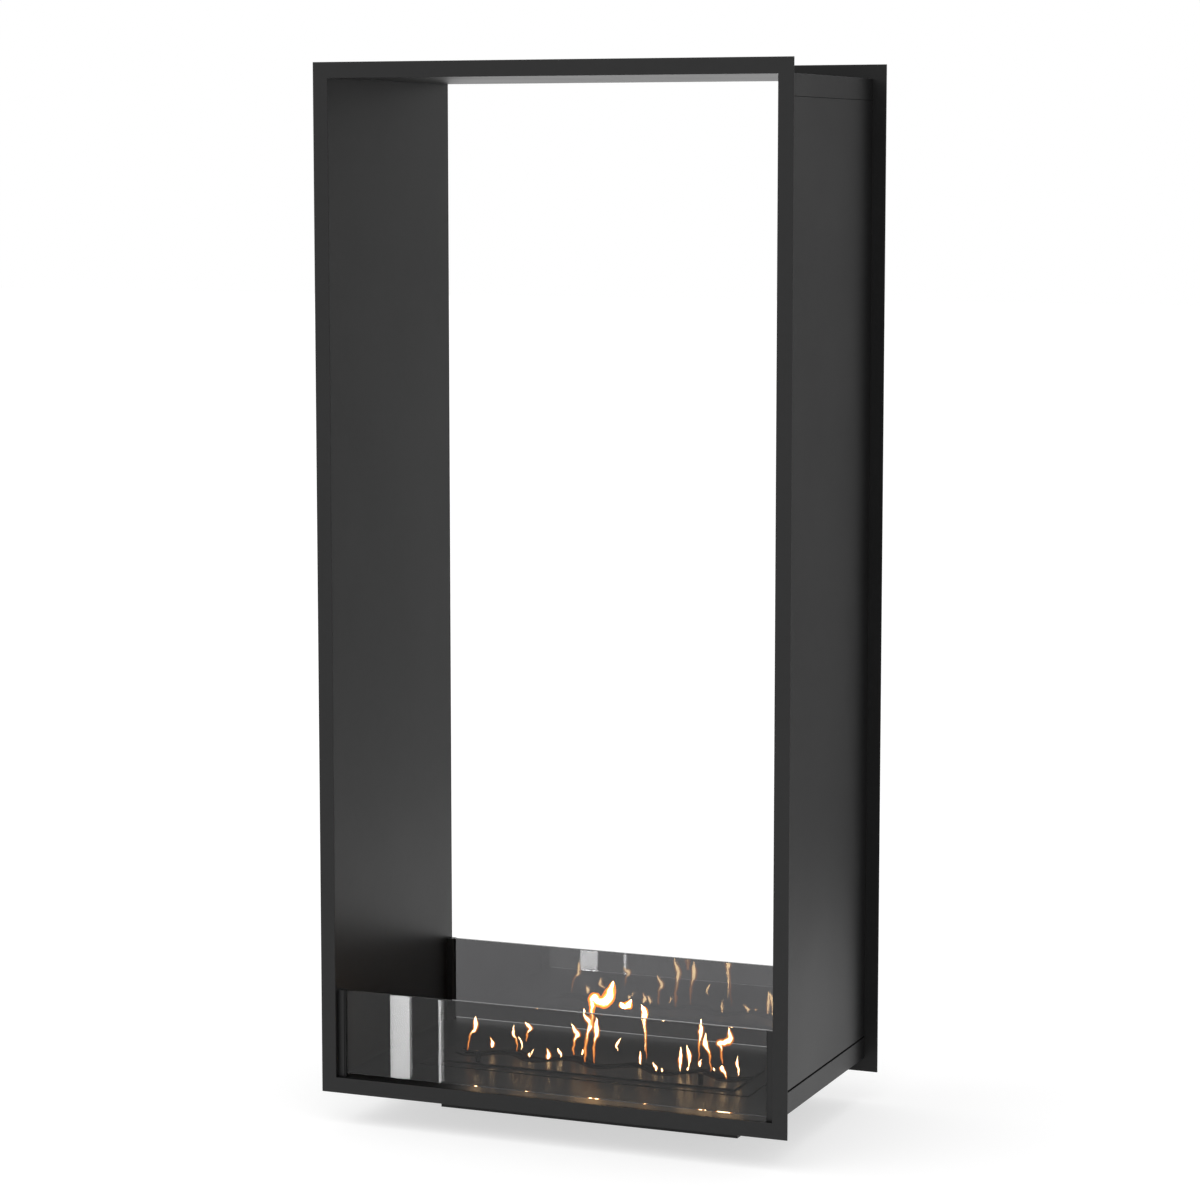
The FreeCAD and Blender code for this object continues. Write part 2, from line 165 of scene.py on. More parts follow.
# %% [markdown]
# ## Floor and light
#
# A plain white studio: the floor and the surroundings are white to the eye and in every reflection, and
# the floor still darkens where the fireplace shades it. Strong lamps could bleach the surroundings, but they
# would bleach the steel too. So an even sky and one soft sun light a colour about as it is written,
# and the Light Path node shows the surroundings as white to the eye, to mirrors and through glass.

# %% White sky
AMBIENT_LEVEL = 0.7


def seen_directly(tree):
    """1 where the eye, a reflection or a view through glass meets the surroundings."""
    ray = add_node(tree, "ShaderNodeLightPath")
    mirrored = add_node(
        tree, "ShaderNodeMath", operation="MAXIMUM",
        links={0: ray.outputs["Is Camera Ray"], 1: ray.outputs["Is Glossy Ray"]},
    )
    through = add_node(
        tree, "ShaderNodeMath", operation="MAXIMUM",
        links={0: mirrored.outputs[0], 1: ray.outputs["Is Transmission Ray"]},
    )
    return through.outputs[0]


world = bpy.data.worlds.new("white_studio")
bpy.context.scene.world = world
world.use_nodes = True
sky = world.node_tree
sky.nodes.clear()
sky_level = add_node(
    sky, "ShaderNodeMix", values={"A": AMBIENT_LEVEL, "B": 1}, links={"Factor": seen_directly(sky)}
)
white_sky = add_node(
    sky, "ShaderNodeBackground", values={"Color": linear("#ffffff")},
    links={"Strength": sky_level.outputs["Result"]},
)
add_node(sky, "ShaderNodeOutputWorld", links={"Surface": white_sky.outputs[0]})
print("sky: 1 to the eye,", AMBIENT_LEVEL, "as light on a matt surface")

# %% White floor
FLOOR_METRES = 60
FLOOR_GREY = "#bcbcbc"
FLOOR_GLOW = 0.6

bpy.ops.object.select_all(action="DESELECT")
bpy.ops.mesh.primitive_plane_add(size=FLOOR_METRES)
floor = bpy.context.object
floor.name = "studio_floor"
floor_paint, tree = new_finish("white_floor_paint")
floor_matt = add_node(tree, "ShaderNodeBsdfDiffuse", values={"Color": linear(FLOOR_GREY)})
glow_level = add_node(
    tree, "ShaderNodeMath", operation="MULTIPLY", values={1: FLOOR_GLOW}, links={0: seen_directly(tree)}
)
floor_glow = add_node(tree, "ShaderNodeEmission", links={"Strength": glow_level.outputs[0]})
floor_mix = add_node(tree, "ShaderNodeAddShader", links={0: floor_matt.outputs[0], 1: floor_glow.outputs[0]})
add_node(tree, "ShaderNodeOutputMaterial", links={"Surface": floor_mix.outputs[0]})
floor.data.materials.append(floor_paint)
print("floor:", FLOOR_METRES, "m across")

# %% Soft sun
SUN_LEVEL = 1.0
SUN_SOFTNESS = 60
SUN_TILT = 25
SUN_TURN = -25

bpy.ops.object.light_add(type="SUN", rotation=(math.radians(SUN_TILT), 0, math.radians(SUN_TURN)))
sun = bpy.context.object
sun.name = "soft_sun"
sun.data.energy = SUN_LEVEL
sun.data.angle = math.radians(SUN_SOFTNESS)
print("sun:", SUN_LEVEL, "W per square metre, from a disc of", SUN_SOFTNESS, "degrees")

# %% [markdown]
# The upright sheets are seen at a slant, where paint mirrors most, and all of them mirror the same side of
# the room. Darker paint would not help there, so a plain grey screen stands on that side, out of view, and
# their black keeps its depth. Low down they mirror the white floor in front of the screen and turn lighter.

# %% Grey screen
SCREEN_GREY = "#d0d0d0"
SCREEN_PLACE = (0.75, 1.25)  # metres, as are its sides
SCREEN_WIDTH = 2.2
SCREEN_HEIGHT = 3
SCREEN_TURN = 60

bpy.ops.object.select_all(action="DESELECT")
bpy.ops.mesh.primitive_plane_add(
    size=1,
    location=(*SCREEN_PLACE, SCREEN_HEIGHT / 2),
    rotation=(math.radians(90), 0, math.radians(-SCREEN_TURN)),
)
screen = bpy.context.object
screen.name = "grey_screen"
screen.scale = (SCREEN_WIDTH, SCREEN_HEIGHT, 1)
screen_cloth, tree = new_finish("grey_screen_cloth")
cloth = add_node(tree, "ShaderNodeBsdfDiffuse", values={"Color": linear(SCREEN_GREY)})
add_node(tree, "ShaderNodeOutputMaterial", links={"Surface": cloth.outputs[0]})
screen.data.materials.append(screen_cloth)
screen.visible_camera = False
screen.visible_transmission = False
screen.visible_diffuse = False
screen.visible_shadow = False
print("screen:", SCREEN_WIDTH, "by", SCREEN_HEIGHT, "m")

# %% [markdown]
# Two upright light strips stand on the floor in front of the left half of the glass. They are there to be
# mirrored in the panes as a broad and a narrow white bar, which is what tells the eye that the dark pane is
# glass. White boards could be mirrored too, but would show and cast shadows. The strips' beam is
# narrow and turned along the mirrored line of sight, so that they don't shine through the glass to the
# other side, and it is linked to the panes alone, so that it lights nothing else.

# %% Light strips for the glass
STRIP_LINE = -440
STRIP_HEIGHT = 130
STRIP_RADIANCE = 2.3
STRIP_SPREAD = 43
STRIP_FROM_TO = {"broad_strip": (-367, -336), "narrow_strip": (-288, -284)}

mirrors = bpy.data.collections.new("panes_that_mirror_the_strips")
for strip_name, (left, right) in STRIP_FROM_TO.items():
    bpy.ops.object.light_add(
        type="AREA",
        location=Vector(((left + right) / 2, STRIP_LINE, STRIP_HEIGHT / 2)) * MM,
        rotation=(math.radians(90), 0, math.radians(-CAMERA_TURN)),
    )
    strip = bpy.context.object
    strip.name = strip_name
    strip.data.shape = "RECTANGLE"
    strip.data.size = (right - left) * math.cos(math.radians(CAMERA_TURN)) * MM
    strip.data.size_y = STRIP_HEIGHT * MM
    strip.data.spread = math.radians(STRIP_SPREAD)
    strip.data.energy = STRIP_RADIANCE * math.pi * strip.data.size * strip.data.size_y
    strip.visible_camera = False
    strip.light_linking.receiver_collection = mirrors
    print(strip_name, round(strip.data.energy, 3), "W")

# %% [markdown]
# ## Powder-coated steel
#
# Almost all of the fireplace is mild steel sheet, powder coated satin black and baked. The powder melts
# into a skin with a very fine orange peel, so reflections are soft and a little uneven, and a trace of dust
# lifts the black to charcoal. One flat black would look like a hole in the picture, so two close blacks
# drift over the sheet and the gloss drifts with them. Real orange peel is under a millimetre wide; it is
# drawn at 3 mm here, because a finer one would not show.

# %% Powder coat
CLOUD_SIZE = 180
DUST_SIZE = 12
PEEL_SIZE = 3
PEEL_HEIGHT = 0.004
PEEL_STRENGTH = 0.4
GLOSS_DRIFT = 0.05


def powder_coat(name, dark, light, roughness, ior):
    """Satin baked paint: two close blacks in broad clouds, uneven gloss and fine orange peel."""
    material, tree = new_finish(name)
    place = add_node(tree, "ShaderNodeTexCoord").outputs["Object"]
    clouds = add_node(
        tree, "ShaderNodeTexNoise", values={"Scale": per_mm(CLOUD_SIZE), "Detail": 3}, links={"Vector": place}
    )
    dust = add_node(
        tree, "ShaderNodeTexNoise", values={"Scale": per_mm(DUST_SIZE), "Detail": 4}, links={"Vector": place}
    )
    film = add_node(
        tree, "ShaderNodeMath", operation="MULTIPLY", links={0: clouds.outputs["Fac"], 1: dust.outputs["Fac"]}
    )
    colour = add_node(
        tree, "ShaderNodeMix", data_type="RGBA", values={MIX_FIRST: linear(dark), MIX_SECOND: linear(light)},
        links={"Factor": film.outputs[0]},
    )
    gloss = add_node(
        tree, "ShaderNodeMapRange",
        values={"To Min": roughness - GLOSS_DRIFT, "To Max": roughness + GLOSS_DRIFT},
        links={"Value": clouds.outputs["Fac"]},
    )
    skin = add_node(
        tree, "ShaderNodeTexNoise", values={"Scale": per_mm(PEEL_SIZE), "Detail": 2}, links={"Vector": place}
    )
    bump = add_node(
        tree, "ShaderNodeBump", values={"Strength": PEEL_STRENGTH, "Distance": PEEL_HEIGHT * MM},
        links={"Height": skin.outputs["Fac"]},
    )
    paint = add_node(
        tree, "ShaderNodeBsdfPrincipled", values={"IOR": ior},
        links={
            "Base Color": colour.outputs[MIX_RESULT],
            "Roughness": gloss.outputs["Result"],
            "Normal": bump.outputs["Normal"],
        },
    )
    add_node(tree, "ShaderNodeOutputMaterial", links={"Surface": paint.outputs[0]})
    return material


casing_coat = powder_coat("satin_black_powder_coat", "#0f0f0f", "#1e1e1f", roughness=0.42, ior=1.42)
hearth_coat = powder_coat("semi_gloss_black_powder_coat", "#0d0d0d", "#191918", roughness=0.32, ior=1.18)
print("coats:", casing_coat.name, "and", hearth_coat.name)

# %% [markdown]
# The plates round the flame slot are the same black steel, but heat has dulled the paint and turned it a
# warm grey along the slot, and a narrow near-black band edges the slot itself: partly soot, partly painted
# shade that makes the slot read wider and deeper. This could be painted on by hand, but it all follows the
# distance from the slot's middle line, which is a wave. So the shader works that distance out from the same
# wave, and the band fits the cut edge everywhere.

# %% Distance from the flame slot
WAVE_LENGTH = 100
WAVE_HEIGHT = 14
SLOT_HALF = 9


def distance_from_slot(tree, place):
    """How far a point lies from the slot's middle line, in metres along Y."""
    along = add_node(tree, "ShaderNodeSeparateXYZ", links={"Vector": place})
    phase = add_node(
        tree, "ShaderNodeMath", operation="MULTIPLY", values={1: 2 * math.pi * per_mm(WAVE_LENGTH)},
        links={0: along.outputs["X"]},
    )
    wave = add_node(tree, "ShaderNodeMath", operation="COSINE", links={0: phase.outputs[0]})
    offset = add_node(
        tree, "ShaderNodeMath", operation="MULTIPLY_ADD", values={1: WAVE_HEIGHT * MM},
        links={0: wave.outputs[0], 2: along.outputs["Y"]},
    )
    distance = add_node(tree, "ShaderNodeMath", operation="ABSOLUTE", links={0: offset.outputs[0]})
    return distance.outputs[0]


print("slot:", 2 * SLOT_HALF, "mm wide, one wave every", WAVE_LENGTH, "mm")

# %% Heat-dulled plates
# the near-black band along the slot is partly soot and partly painted shade, which widens the dark of the
# slot
SOOT_AND_SHADE_WIDTH = 6
SOOT_AND_SHADE_FADE = 1.5
WARM_FROM = 8
WARM_TO = 40
MOTTLE_SIZE = 25
MOTTLE_REACH = 16
COOL_ROUGHNESS = 0.32
WARM_ROUGHNESS = 0.42
PLATE_IOR = 1.2
PLATE_PEEL_SIZE = 2.5
PLATE_PEEL_HEIGHT = 0.006


def heat_dulled_coat(name, cool, warm, soot):
    """Black paint that turns duller and greyer near the flame slot, with a near-black band along its edge:
    soot and painted shade.
    """
    material, tree = new_finish(name)
    place = add_node(tree, "ShaderNodeTexCoord").outputs["Object"]
    distance = distance_from_slot(tree, place)
    mottle = add_node(
        tree, "ShaderNodeTexNoise", values={"Scale": per_mm(MOTTLE_SIZE), "Detail": 5},
        links={"Vector": place},
    )
    ragged = add_node(
        tree, "ShaderNodeMath", operation="MULTIPLY_ADD", values={1: MOTTLE_REACH * MM},
        links={0: mottle.outputs["Fac"], 2: distance},
    )
    soot_and_shade_end = SLOT_HALF + SOOT_AND_SHADE_WIDTH
    heat = add_node(
        tree, "ShaderNodeMapRange", links={"Value": ragged.outputs[0]},
        values={
            "From Min": (SLOT_HALF + WARM_FROM) * MM,
            "From Max": (SLOT_HALF + WARM_TO) * MM,
            "To Min": 1,
            "To Max": 0,
        },
    )
    # soot and painted shade: a near-black band along the slot's cut edge
    black = add_node(
        tree, "ShaderNodeMapRange", links={"Value": distance},
        values={"From Min": soot_and_shade_end * MM, "From Max": (soot_and_shade_end + SOOT_AND_SHADE_FADE) * MM, "To Min": 1, "To Max": 0},
    )
    paint_colour = add_node(
        tree, "ShaderNodeMix", data_type="RGBA", values={MIX_FIRST: linear(cool), MIX_SECOND: linear(warm)},
        links={"Factor": heat.outputs["Result"]},
    )
    colour = add_node(
        tree, "ShaderNodeMix", data_type="RGBA", values={MIX_SECOND: linear(soot)},
        links={"Factor": black.outputs["Result"], MIX_FIRST: paint_colour.outputs[MIX_RESULT]},
    )
    worn = add_node(
        tree, "ShaderNodeMapRange", values={"To Min": COOL_ROUGHNESS, "To Max": WARM_ROUGHNESS},
        links={"Value": heat.outputs["Result"]},
    )
    gloss = add_node(
        tree, "ShaderNodeMapRange", values={"To Max": 1},
        links={"Value": black.outputs["Result"], "To Min": worn.outputs["Result"]},
    )
    skin = add_node(
        tree, "ShaderNodeTexNoise", values={"Scale": per_mm(PLATE_PEEL_SIZE), "Detail": 2},
        links={"Vector": place},
    )
    bump = add_node(
        tree, "ShaderNodeBump", values={"Strength": PEEL_STRENGTH, "Distance": PLATE_PEEL_HEIGHT * MM},
        links={"Height": skin.outputs["Fac"]},
    )
    paint = add_node(
        tree, "ShaderNodeBsdfPrincipled", values={"IOR": PLATE_IOR},
        links={
            "Base Color": colour.outputs[MIX_RESULT],
            "Roughness": gloss.outputs["Result"],
            "Normal": bump.outputs["Normal"],
        },
    )
    add_node(tree, "ShaderNodeOutputMaterial", links={"Surface": paint.outputs[0]})
    return material


# the soot colour paints the band along the slot, partly soot and partly painted shade
plate_coat = heat_dulled_coat("heat_dulled_black_coat", cool="#1a1a1a", warm="#312e2b", soot="#060606")
print("plates:", plate_coat.name)

# %% [markdown]
# ## Tinted glass
#
# The panes are toughened glass, tinted grey in the mass and polished. The rear one is smoked so dark that
# the white behind it reads as charcoal. The front one has a lighter tint, so that the burner and the fire
# show through it. Both mirror like any clear glass. The tint could be a volume inside the pane, but a tint
# of the surface looks the same on a flat pane and is quicker. It drifts a little, as a film of soot does.

# %% Tinted glass
FILM_SIZE = 90


def tinted_glass(name, dark, light, ior):
    """Polished glass whose tint drifts between two close greys."""
    material, tree = new_finish(name)
    place = add_node(tree, "ShaderNodeTexCoord").outputs["Object"]
    film = add_node(
        tree, "ShaderNodeTexNoise", values={"Scale": per_mm(FILM_SIZE), "Detail": 2}, links={"Vector": place}
    )
    tint = add_node(
        tree, "ShaderNodeMix", data_type="RGBA", values={MIX_FIRST: linear(dark), MIX_SECOND: linear(light)},
        links={"Factor": film.outputs["Fac"]},
    )
    pane = add_node(
        tree, "ShaderNodeBsdfPrincipled",
        values={"Transmission Weight": 1, "IOR": ior, "Roughness": 0},
        links={"Base Color": tint.outputs[MIX_RESULT]},
    )
    add_node(tree, "ShaderNodeOutputMaterial", links={"Surface": pane.outputs[0]})
    return material


PANE_GLASS = {
    "front": tinted_glass("light_grey_tinted_glass", "#a2a2a2", "#aaaaaa", ior=1.34),
    "rear": tinted_glass("dark_smoked_glass", "#585859", "#606061", ior=1.54),
}
print("glass:", [glass.name for glass in PANE_GLASS.values()])

# %% [markdown]
# ## Seals, stainless steel, soot and painted shade
#
# The seals and pads are matt black extruded rubber. The screws are brushed stainless steel, with fine lines
# along X. The cut edges that line the flame slot are near black, partly with soot and partly as painted shade
# that deepens the slot. The hidden backs of the side liners are near black as painted shade, which keeps the
# gap under the outer panels dark. Four separate shaders would do, but each of these is a noise of its own
# size and stretch, so one function makes them all. A real brush line is a tenth of a millimetre wide and the
# grain of the shaded backs finer still; both are drawn coarser to show.

# %% Small finishes
GRAIN_GLOSS_DRIFT = 0.06
GRAIN_HEIGHT = 0.02
GRAIN_STRENGTH = 0.5


def grained(name, dark, light, grain, roughness, metallic=0.0, specular=0.5):
    """A finish whose colour and height follow one noise; grain gives its size along each axis."""
    material, tree = new_finish(name)
    place = add_node(tree, "ShaderNodeTexCoord").outputs["Object"]
    stretched = add_node(
        tree, "ShaderNodeMapping", values={"Scale": [per_mm(size) for size in grain]}, links={"Vector": place}
    )
    fibres = add_node(
        tree, "ShaderNodeTexNoise", values={"Scale": 1, "Detail": 4}, links={"Vector": stretched.outputs[0]}
    )
    colour = add_node(
        tree, "ShaderNodeMix", data_type="RGBA", values={MIX_FIRST: linear(dark), MIX_SECOND: linear(light)},
        links={"Factor": fibres.outputs["Fac"]},
    )
    gloss = add_node(
        tree, "ShaderNodeMapRange",
        values={"To Min": roughness - GRAIN_GLOSS_DRIFT, "To Max": roughness + GRAIN_GLOSS_DRIFT},
        links={"Value": fibres.outputs["Fac"]},
    )
    bump = add_node(
        tree, "ShaderNodeBump", values={"Strength": GRAIN_STRENGTH, "Distance": GRAIN_HEIGHT * MM},
        links={"Height": fibres.outputs["Fac"]},
    )
    shader = add_node(
        tree, "ShaderNodeBsdfPrincipled", values={"Metallic": metallic, "Specular IOR Level": specular},
        links={
            "Base Color": colour.outputs[MIX_RESULT],
            "Roughness": gloss.outputs["Result"],
            "Normal": bump.outputs["Normal"],
        },
    )
    add_node(tree, "ShaderNodeOutputMaterial", links={"Surface": shader.outputs[0]})
    return material


seal_rubber = grained("matt_black_seal_rubber", "#0b0b0b", "#161616", grain=(2, 2, 6), roughness=0.75)
stainless = grained(
    "brushed_stainless_steel", "#a5a5a6", "#c9c9ca", grain=(40, 0.8, 0.8), roughness=0.32, metallic=1.0
)
# soot and painted shade: the cut edges in the slot are made near black and matt, so that the slot reads dark
# and deep
slot_soot_and_shade = grained(
    "soot_and_painted_slot_shade", "#050505", "#0c0b0b", grain=(4, 4, 4), roughness=0.9, specular=0.05
)
# painted shade: the backs of the side liners are near black, so the shallow gap under the outer panels reads
# as a deep, dark gap
painted_gap_shade = grained(
    "painted_shade_liner_backs", "#040404", "#090909", grain=(6, 6, 6), roughness=0.9, specular=0.1
)
print("small finishes:", seal_rubber.name, stainless.name, slot_soot_and_shade.name, painted_gap_shade.name)

# %% [markdown]
# The tank and the perforated sheet are stainless steel too, but the fire has blackened what lies near the
# flame slot, and it has charred the top of the wool. One dark colour for all of it would be wrong when the
# burner is lifted out, because the tank is still bright below. So the soot follows the height and fades out
# downwards, and as soot is matt and no metal, it takes the metal's shine away with its colour.

# %% Sooted finishes
SMOKE_SIZE = 30
SMOKE_REACH = 12
SOOT_ROUGHNESS = 0.9
SOOT_SPECULAR = 0.1


def sooted(name, clean, soot, clean_height, soot_height, metallic, roughness):
    """A finish that turns to soot between two heights."""
    material, tree = new_finish(name)
    place = add_node(tree, "ShaderNodeTexCoord").outputs["Object"]
    height = add_node(tree, "ShaderNodeSeparateXYZ", links={"Vector": place})
    smoke = add_node(
        tree, "ShaderNodeTexNoise", values={"Scale": per_mm(SMOKE_SIZE), "Detail": 5}, links={"Vector": place}
    )
    ragged = add_node(
        tree, "ShaderNodeMath", operation="MULTIPLY_ADD", values={1: SMOKE_REACH * MM},
        links={0: smoke.outputs["Fac"], 2: height.outputs["Z"]},
    )
    black = add_node(
        tree, "ShaderNodeMapRange", values={"From Min": clean_height * MM, "From Max": soot_height * MM},
        links={"Value": ragged.outputs[0]},
    )
    colour = add_node(
        tree, "ShaderNodeMix", data_type="RGBA", values={MIX_FIRST: linear(clean), MIX_SECOND: linear(soot)},
        links={"Factor": black.outputs["Result"]},
    )
    gloss = add_node(
        tree, "ShaderNodeMapRange", values={"To Min": roughness, "To Max": SOOT_ROUGHNESS},
        links={"Value": black.outputs["Result"]},
    )
    bare = add_node(
        tree, "ShaderNodeMapRange", values={"To Min": metallic, "To Max": 0},
        links={"Value": black.outputs["Result"]},
    )
    surface = add_node(
        tree, "ShaderNodeBsdfPrincipled", values={"Specular IOR Level": SOOT_SPECULAR},
        links={
            "Base Color": colour.outputs[MIX_RESULT],
            "Roughness": gloss.outputs["Result"],
            "Metallic": bare.outputs["Result"],
        },
    )
    add_node(tree, "ShaderNodeOutputMaterial", links={"Surface": surface.outputs[0]})
    return material


sooted_stainless = sooted(
    "sooted_stainless_steel", "#b8b8b9", "#1a1918",
    clean_height=36, soot_height=58, metallic=1, roughness=0.32,
)
charred_wool = sooted(
    "charred_ceramic_wool", "#e2ddd2", "#3b352f",
    clean_height=30, soot_height=56, metallic=0, roughness=0.9,
)
print("sooted:", sooted_stainless.name, charred_wool.name)

# %% [markdown]
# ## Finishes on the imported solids
#
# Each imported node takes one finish. They could be named one by one, but the record already says what each
# piece is made of, so the finish follows that, and only the pieces near the fire are named here. The
# pieces that are modelled again below hide their node later.

# %% Coat the nodes
HEARTH_NODES = ("floor_liner", "burner_surround", "handle_posts")
PLATE_NODES = ("rear_cover_plate", "shutter_plate")
SOOTED_NODES = ("fuel_tank", "burner_mesh")
FINISH_OF_SLOT = {
    "black_steel": casing_coat,
    "black_seal": seal_rubber,
    "smoked_glass": PANE_GLASS["rear"],
    "stainless_steel": stainless,
    "ceramic_wool": charred_wool,
}


def coat(piece, material):
    """Gives a piece one finish."""
    piece.data.materials.clear()
    piece.data.materials.append(material)


slot_of = {part["node"]: part["material_slot"] for part in frame["record"]["subparts"]}
for node, slot in slot_of.items():
    finish = FINISH_OF_SLOT[slot]
    if node in HEARTH_NODES:
        finish = hearth_coat
    if node in PLATE_NODES:
        finish = plate_coat
    if node in SOOTED_NODES:
        finish = sooted_stainless
    coat(nodes[node], finish)
print("coated", len(slot_of), "nodes")

# %% [markdown]
# ## Trim frames
#
# Each face carries a flat ring of 2 mm sheet that covers the edge of the wall. Paint rounds its cut edges,
# and the rounded edge draws a thin bright line along the frame. The ring could be four bars joined at the
# corners, but it is one cut sheet, so a cube of its size is opened by an inset on both faces and a bridge,
# and a small bevel rounds it.

# %% Tools for a block
SHARP_ANGLE = 40


def start_block(name, low, high):
    """A cube stretched between two corners, selected and ready for edit mode."""
    bpy.ops.object.select_all(action="DESELECT")
    bpy.ops.mesh.primitive_cube_add(size=1, location=(low + high) / 2, scale=high - low)
    bpy.ops.object.transform_apply(location=True, rotation=True, scale=True)
    piece = bpy.context.object
    piece.name = name
    return piece


def select_faces(piece, wanted):
    """Edit mode with only the faces selected whose centre and normal pass the test."""
    bpy.ops.object.mode_set(mode="EDIT")
    bpy.ops.mesh.select_mode(type="FACE")
    bpy.ops.mesh.select_all(action="DESELECT")
    bpy.ops.object.mode_set(mode="OBJECT")
    for face in piece.data.polygons:
        face.select = wanted(face.center, face.normal)
    bpy.ops.object.mode_set(mode="EDIT")


def round_edges(piece, radius, segments=3):
    """Bevels every sharp edge; the flat faces keep flat normals, so that they mirror without bending."""
    bpy.ops.object.select_all(action="DESELECT")
    piece.select_set(True)
    bpy.context.view_layer.objects.active = piece
    bpy.ops.object.shade_smooth_by_angle(angle=math.radians(SHARP_ANGLE))
    bevel = piece.modifiers.new("rounded_edges", "BEVEL")
    bevel.width = radius * MM
    bevel.segments = segments
    bevel.limit_method = "ANGLE"
    bevel.angle_limit = math.radians(SHARP_ANGLE)
    bevel.harden_normals = True
    bpy.ops.object.modifier_apply(modifier=bevel.name)


def stand_for(piece, node, material):
    """Hands a finished piece over: it hides its node and moves with the node's body."""
    coat(piece, material)
    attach(piece, nodes[node]["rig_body"])
    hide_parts(node)
    print(piece.name, "stands for", node, "with", len(piece.data.polygons), "faces")


print("edges of more than", SHARP_ANGLE, "degrees will be rounded")

# %% Trim frames
FRAME_EDGE_RADIUS = 0.5
FACING = 0.5  # a face looks along an axis when its normal has more than this share of it

opening_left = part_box("left_liner")[1].x
frame_face = opening_left - cad_low.x
for side in ("front", "rear"):
    low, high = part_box(f"{side}_trim_frame")
    ring = start_block(f"{side}_frame_ring", low, high)
    select_faces(ring, lambda centre, normal: abs(normal.y) > FACING)
    bpy.ops.mesh.inset(thickness=frame_face, depth=0)
    bpy.ops.mesh.bridge_edge_loops()
    bpy.ops.object.mode_set(mode="OBJECT")
    round_edges(ring, FRAME_EDGE_RADIUS)
    stand_for(ring, f"{side}_trim_frame", casing_coat)

# %% [markdown]
# ## Glass panes
#
# A toughened pane has its edges ground and polished to a small chamfer, because a sharp edge chips.
# The chamfer shows as a light line along the top of the pane. All edges could be chamfered, but the others
# sit in the channels and on the pads, so only those of the top are. Flat shading keeps the faces from
# mirroring bent. Each pane joins the collection that the light strips shine on.

# %% Panes with polished edges
PANE_CHAMFER = 0.6

for side in ("front", "rear"):
    low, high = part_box(f"{side}_glass")
    pane = start_block(f"{side}_pane", low, high)
    select_faces(pane, lambda centre, normal: normal.z > FACING)
    bpy.ops.mesh.bevel(offset=PANE_CHAMFER * MM, affect="EDGES")
    bpy.ops.object.mode_set(mode="OBJECT")
    bpy.ops.object.shade_flat()
    mirrors.objects.link(pane)
    stand_for(pane, f"{side}_glass", PANE_GLASS[side])

# %% [markdown]
# ## Cut and folded sheets
#
# The casing, the channels, the housing and the plates of the burner are laser cut and folded, so their
# outline is exactly that of the solids. Only the dead sharp edges of a solid are wrong, because paint rounds
# them. Each sheet could be drawn again from nothing, but a copy of the solid's mesh is surer to fit: it is
# merged, its flat triangles are joined and its edges are rounded. The edges that line the flame slot are
# then blackened, partly as soot and partly as painted shade, and the backs of the side liners are painted
# near black as the shade of the gap under the outer panels.

# %% Tools for the sheets
MERGE_DISTANCE = 0.005
FLAT_ANGLE = 1
SHEET_BEVEL_SEGMENTS = 2
SLOT_REACH = 30
STEEP = 0.7  # share of an axis in the normal that parts a sheet's cut edges from its faces


def softened_copy(node, name, radius):
    """A copy of a node's mesh with merged corners and rounded edges."""
    piece = bpy.data.objects.new(name, nodes[node].data.copy())
    bpy.context.scene.collection.objects.link(piece)
    bpy.ops.object.select_all(action="DESELECT")
    piece.select_set(True)
    bpy.context.view_layer.objects.active = piece
    bpy.ops.object.mode_set(mode="EDIT")
    bpy.ops.mesh.select_all(action="SELECT")
    bpy.ops.mesh.remove_doubles(threshold=MERGE_DISTANCE * MM)
    bpy.ops.mesh.dissolve_limited(angle_limit=math.radians(FLAT_ANGLE))
    bpy.ops.object.mode_set(mode="OBJECT")
    round_edges(piece, radius, SHEET_BEVEL_SEGMENTS)
    return piece


def coat_faces(piece, material, wanted):
    """Gives a second finish to the faces that pass the test."""
    piece.data.materials.append(material)
    select_faces(piece, wanted)
    piece.active_material_index = len(piece.data.materials) - 1
    bpy.ops.object.material_slot_assign()
    bpy.ops.object.mode_set(mode="OBJECT")


def lines_slot(centre, normal):
    """True for the cut edge of a plate along the flame slot."""
    return abs(normal.z) < STEEP and abs(centre.y) < SLOT_REACH * MM


def faces_outward(centre, normal):
    """True for the hidden back of a side liner."""
    return centre.x * normal.x > 0 and abs(normal.x) > STEEP


# the soot on these cut edges is partly painted shade in the slot
print("soot lines what lies within", SLOT_REACH, "mm of the burner's centre line")

# %% Sheets with rounded edges
SHEET_EDGE_RADIUS = 0.3
LINER_NODES = ("left_liner", "right_liner")
SOFT_SHEETS = {
    "top_cap": "folded_top",
    "base_tray": "folded_base",
    "left_outer_panel": "left_side_sheet",
    "right_outer_panel": "right_side_sheet",
    "left_liner": "left_lining",
    "right_liner": "right_lining",
    "front_left_glass_channel": "front_left_channel",
    "front_right_glass_channel": "front_right_channel",
    "rear_left_glass_channel": "rear_left_channel",
    "rear_right_glass_channel": "rear_right_channel",
    "burner_housing": "folded_housing",
    "burner_surround": "surround_sheet",
    "rear_cover_plate": "fixed_wave_plate",
    "shutter_plate": "sliding_wave_plate",
    "handle_posts": "turned_posts",
}

for node, name in SOFT_SHEETS.items():
    sheet = softened_copy(node, name, SHEET_EDGE_RADIUS)
    stand_for(sheet, node, nodes[node].data.materials[0])
    if node in PLATE_NODES:
        # the slot's cut edges take soot and painted shade
        coat_faces(sheet, slot_soot_and_shade, lines_slot)
    if node in LINER_NODES:
        # the liners' backs take painted shade, so the gap under the outer panels reads dark
        coat_faces(sheet, painted_gap_shade, faces_outward)

